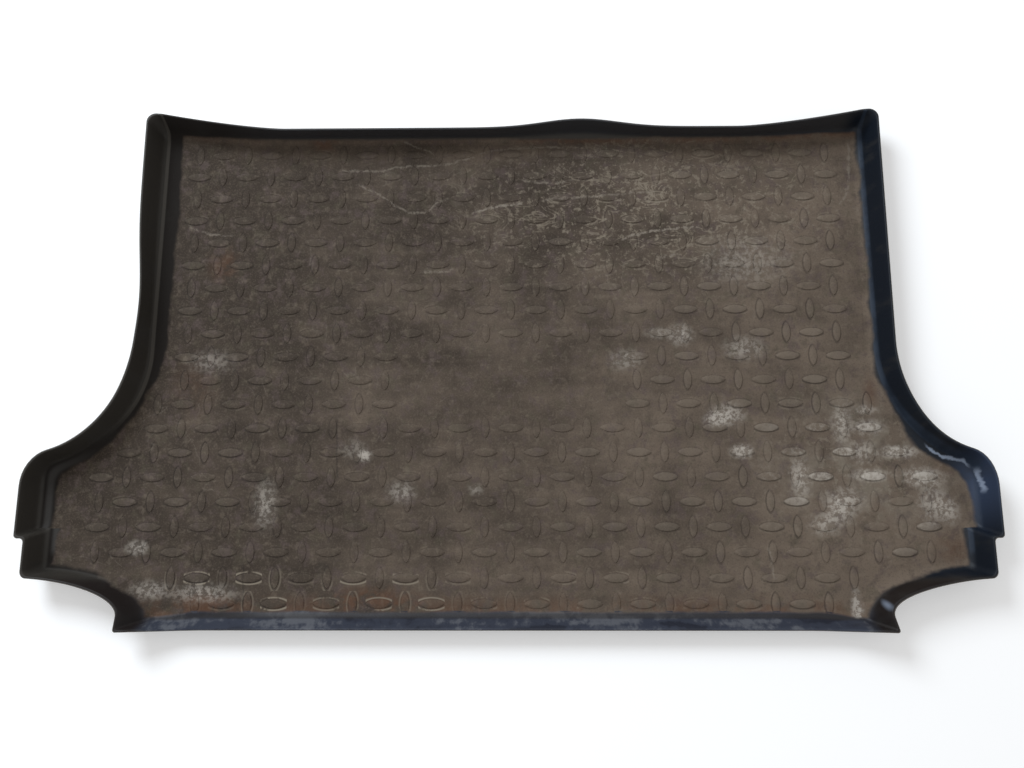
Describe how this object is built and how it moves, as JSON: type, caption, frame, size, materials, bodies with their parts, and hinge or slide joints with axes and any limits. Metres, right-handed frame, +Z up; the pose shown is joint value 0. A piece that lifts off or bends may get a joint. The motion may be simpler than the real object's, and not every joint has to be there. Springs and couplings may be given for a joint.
{
  "type": "car boot liner",
  "caption": "Moulded rubber boot liner for a car: a shallow tray with flared walls, wheel arch curves and a tread of small bars.",
  "frame": {"origin": "middle of the underside, which lies on the boot floor", "axes": "+X across the car, +Y towards the seats, +Z up out of the tray"},
  "size_m": [1.295, 0.73, 0.045],
  "materials": {
    "rubber": "matte, with road dust trodden into the floor"
  },
  "bodies": {
    "root": {"boot_liner": "rubber"}
  },
  "joints": []
}
